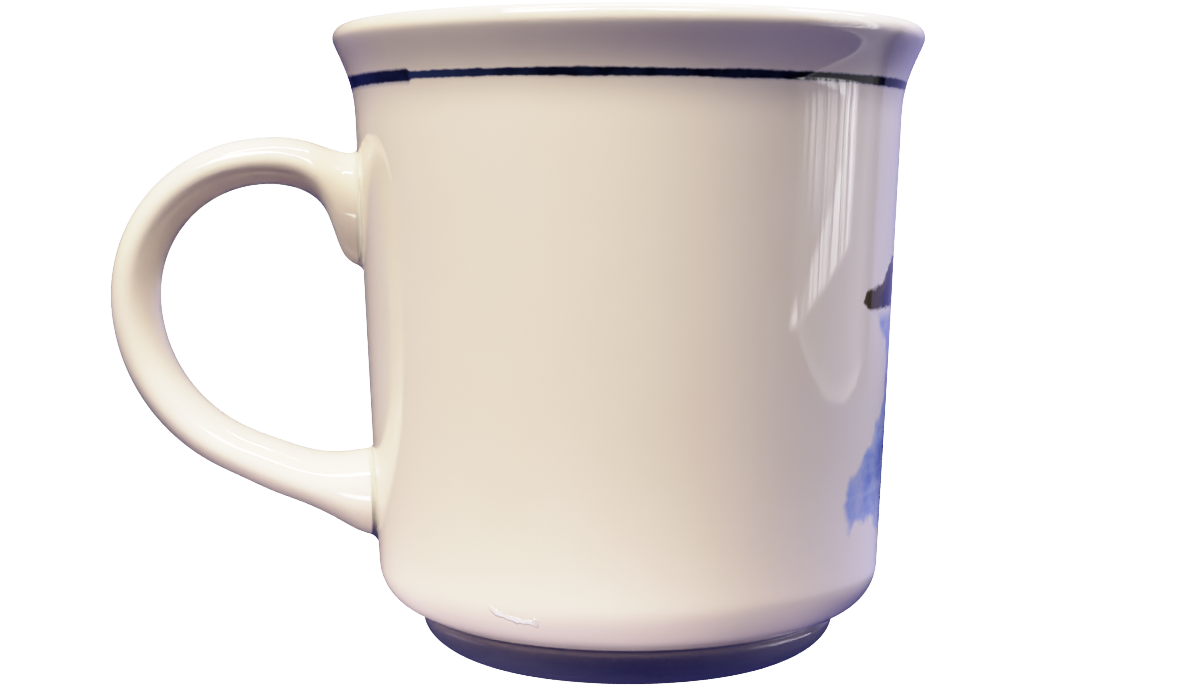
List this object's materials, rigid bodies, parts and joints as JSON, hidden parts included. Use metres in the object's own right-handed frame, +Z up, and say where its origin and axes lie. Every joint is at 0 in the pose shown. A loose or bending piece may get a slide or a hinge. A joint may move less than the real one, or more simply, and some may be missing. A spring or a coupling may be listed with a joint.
{
  "type": "ceramic mug",
  "caption": "Glazed stoneware mug with a flared lip, a rounded shoulder over a narrow foot ring, and a round loop handle joined to the wall with slip.",
  "frame": {"origin": "under the middle of the mug's outline, handle included, in the plane that the foot stands on; the cup's own axis is 16.75 mm along +X from it", "axes": "+Z up along the cup's axis, handle along -X, and +Y across the handle's plane, so the mug is seen from -Y with its handle on the left"},
  "size_m": [0.1194, 0.086, 0.091],
  "materials": {
    "body_glaze": "glossy warm white glaze with a painted blue-black line under the lip and a soft blue wash landscape on one side",
    "handle_glaze": "the same glossy warm white glaze, thinner and warmer along the strap's edges",
    "slip_glaze": "glossy glaze that has pooled in the crease, slightly greenish",
    "bare_clay": "matt fired stoneware where the foot stands, glazed above it"
  },
  "bodies": {
    "root": {"mug_body": "body_glaze", "foot_ring": "bare_clay", "handle": "handle_glaze", "upper_slip_joint": "slip_glaze", "lower_slip_joint": "slip_glaze"}
  },
  "joints": []
}
